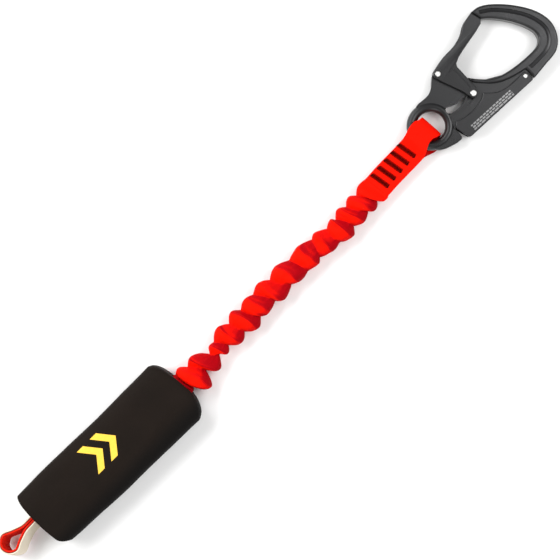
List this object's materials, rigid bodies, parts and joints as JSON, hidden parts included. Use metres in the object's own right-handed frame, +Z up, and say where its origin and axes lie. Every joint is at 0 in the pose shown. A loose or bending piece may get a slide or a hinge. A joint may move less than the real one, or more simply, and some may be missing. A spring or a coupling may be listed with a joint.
{
  "type": "shock absorbing lanyard",
  "caption": "Fall-protection lanyard: sleeved tear-webbing absorber, gathered elastic webbing leg and a palm-squeeze snap hook with a sprung gate.",
  "frame": {"origin": "middle of the absorber pack's flat underside, where it rests", "axes": "+X from the pack along the leg to the snap hook, +Y across towards the hook's gate, +Z up out of the hook's plane"},
  "size_m": [0.5458, 0.0688, 0.028],
  "materials": {
    "sleeve_black": "matte woven polyester",
    "tear_red": "woven polyamide",
    "webbing_red": "woven polyamide webbing",
    "thread_black": "bar-tack thread",
    "webbing_cream": "undyed woven webbing",
    "elastic_rubber": "natural rubber strands",
    "anodised_black": "forged and black anodised, satin",
    "gate_black": "black plated pressed steel",
    "rivet_steel": "bright",
    "spring_steel": "drawn wire"
  },
  "bodies": {
    "pack": {"absorber_sleeve": "sleeve_black", "tear_webbing": "tear_red", "leg_strap": "webbing_red", "tail_strap": "webbing_red", "mouth_tack_1": "thread_black", "mouth_tack_2": "thread_black", "tail_tack_1": "thread_black", "tail_tack_2": "thread_black", "leg_sheath": "webbing_red", "elastic_core": "elastic_rubber"},
    "tail_loop": {"tail_loop_outer": "webbing_cream", "tail_loop_inner": "tear_red"},
    "leg_end": {"tab_front": "webbing_red", "tab_back": "webbing_red", "bar_tack_1": "thread_black", "bar_tack_2": "thread_black", "bar_tack_3": "thread_black", "bar_tack_4": "thread_black", "bar_tack_5": "thread_black"},
    "eye_loop": {"eye_loop": "webbing_red"},
    "hook": {"hook_frame": "anodised_black", "gate_pivot_rivet": "rivet_steel", "lever_pivot_rivet": "rivet_steel", "gate_spring": "spring_steel", "lever_spring": "spring_steel"},
    "gate": {"gate": "gate_black", "guide_pin_front": "rivet_steel", "guide_pin_back": "rivet_steel"},
    "lever": {"palm_lever": "anodised_black"}
  },
  "joints": [
    {"name": "tail_loop_flex", "type": "hinge", "parent": "pack", "child": "tail_loop", "pos_m": [-0.0738, 0.004, 0.014], "axis": [0, 0, 1], "range_deg": [-35, 35]},
    {"name": "leg_stretch", "type": "slide", "parent": "pack", "child": "leg_end", "axis": [1, 0, 0], "range_m": [0, 0.12], "stiffness_N_per_m": 80, "deforming": ["leg_sheath", "elastic_core"]},
    {"name": "hook_tilt", "type": "hinge", "parent": "leg_end", "child": "eye_loop", "pos_m": [0.30804, 0.00247, 0.008], "axis": [-0.0632, 0.998, 0], "range_deg": [-60, 60]},
    {"name": "hook_swing", "type": "hinge", "parent": "eye_loop", "child": "hook", "pos_m": [0.329, 0.0038, 0.008], "axis": [0, 0, 1], "range_deg": [-25, 25]},
    {"name": "gate_open", "type": "hinge", "parent": "hook", "child": "gate", "pos_m": [0.3585, 0.0266, 0.008], "axis": [0, 0, -1], "range_deg": [0, 38], "stiffness_Nm_per_rad": 0.08, "springref_deg": -28.65},
    {"name": "lever_squeeze", "type": "hinge", "parent": "hook", "child": "lever", "pos_m": [0.40222, -0.0188, 0.008], "axis": [0, 0, -1], "range_deg": [0, 5], "stiffness_Nm_per_rad": 0.2, "springref_deg": -17.19}
  ]
}
